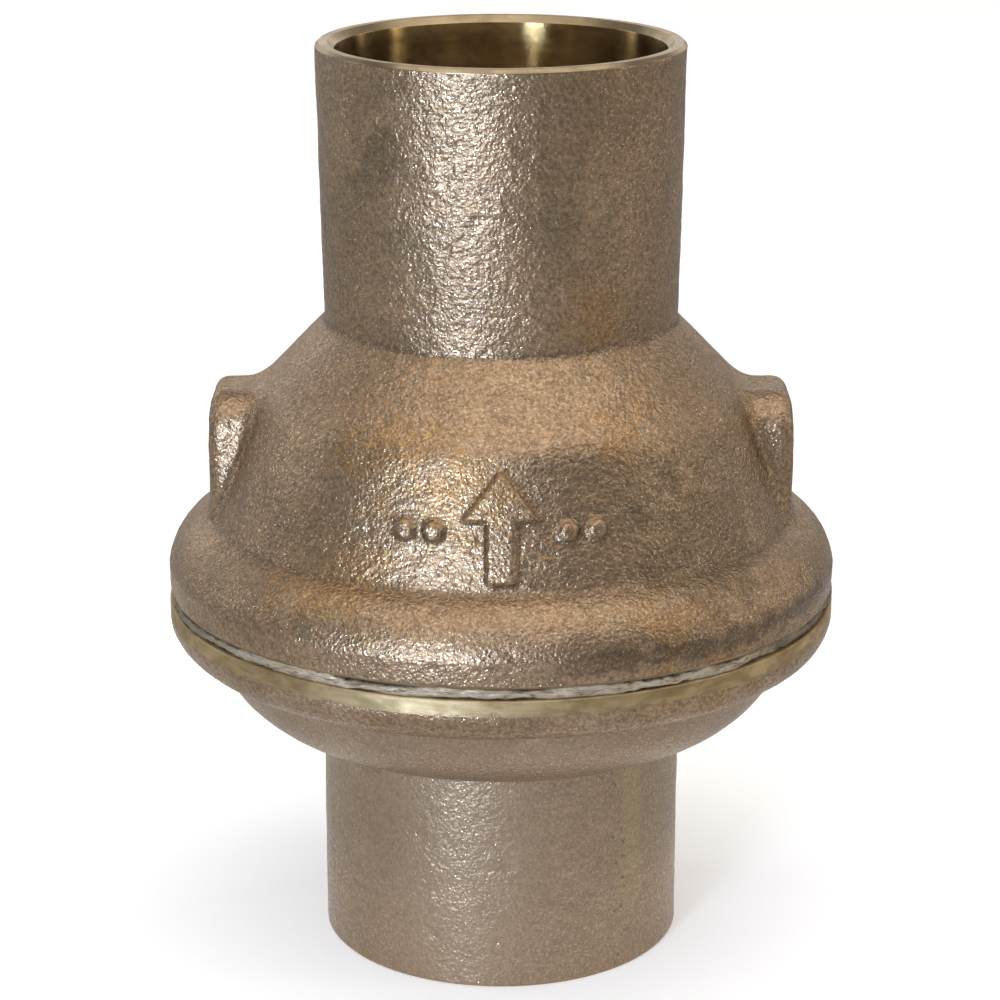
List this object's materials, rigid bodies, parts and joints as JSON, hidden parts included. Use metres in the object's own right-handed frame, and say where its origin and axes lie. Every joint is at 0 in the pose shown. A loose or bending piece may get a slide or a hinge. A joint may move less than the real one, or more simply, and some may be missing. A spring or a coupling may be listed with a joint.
{
  "type": "spring check valve",
  "caption": "Cast bronze in-line check valve with solder cup ends, wrench lugs and a sprung poppet that lifts off its seat with the flow.",
  "frame": {"origin": "centre of the inlet rim, on the surface that the valve stands on", "axes": "+Z along the flow, from the inlet cup to the outlet cup; the wrench lugs lie on X; the flow arrow faces -Y"},
  "size_m": [0.086, 0.086, 0.1178],
  "materials": {
    "cast_bronze": "sand-cast and blasted, dull",
    "turned_bronze": "machined",
    "stainless": "drawn and turned",
    "soft_disc": "smooth fluoropolymer",
    "bush_plastic": "filled fluoropolymer",
    "gasket": "fluoropolymer sheet",
    "sealant": "cured, ragged"
  },
  "bodies": {
    "shell": {"body": "cast_bronze", "inlet_end": "cast_bronze", "seam_bead": "sealant", "body_gasket": "gasket", "seat_ring": "turned_bronze", "lower_bush": "bush_plastic", "stem_guide": "turned_bronze", "upper_bush": "bush_plastic", "retaining_clip": "stainless", "spring": "stainless"},
    "spring_seat": {"thrust_washer": "stainless"},
    "poppet": {"stem": "stainless", "disc_washer": "turned_bronze", "seat_disc": "soft_disc", "disc_holder": "turned_bronze", "lock_washer": "stainless", "disc_nut": "stainless"}
  },
  "joints": [
    {"name": "poppet_lift", "type": "slide", "parent": "shell", "child": "spring_seat", "axis": [0, 0, 1], "range_m": [0, 0.009], "stiffness_N_per_m": 230, "springref_m": -0.015, "deforming": ["spring"]},
    {"name": "poppet_spin", "type": "hinge", "parent": "spring_seat", "child": "poppet", "pos_m": [0, 0, 0.05], "axis": [0, 0, 1], "continuous": true}
  ]
}
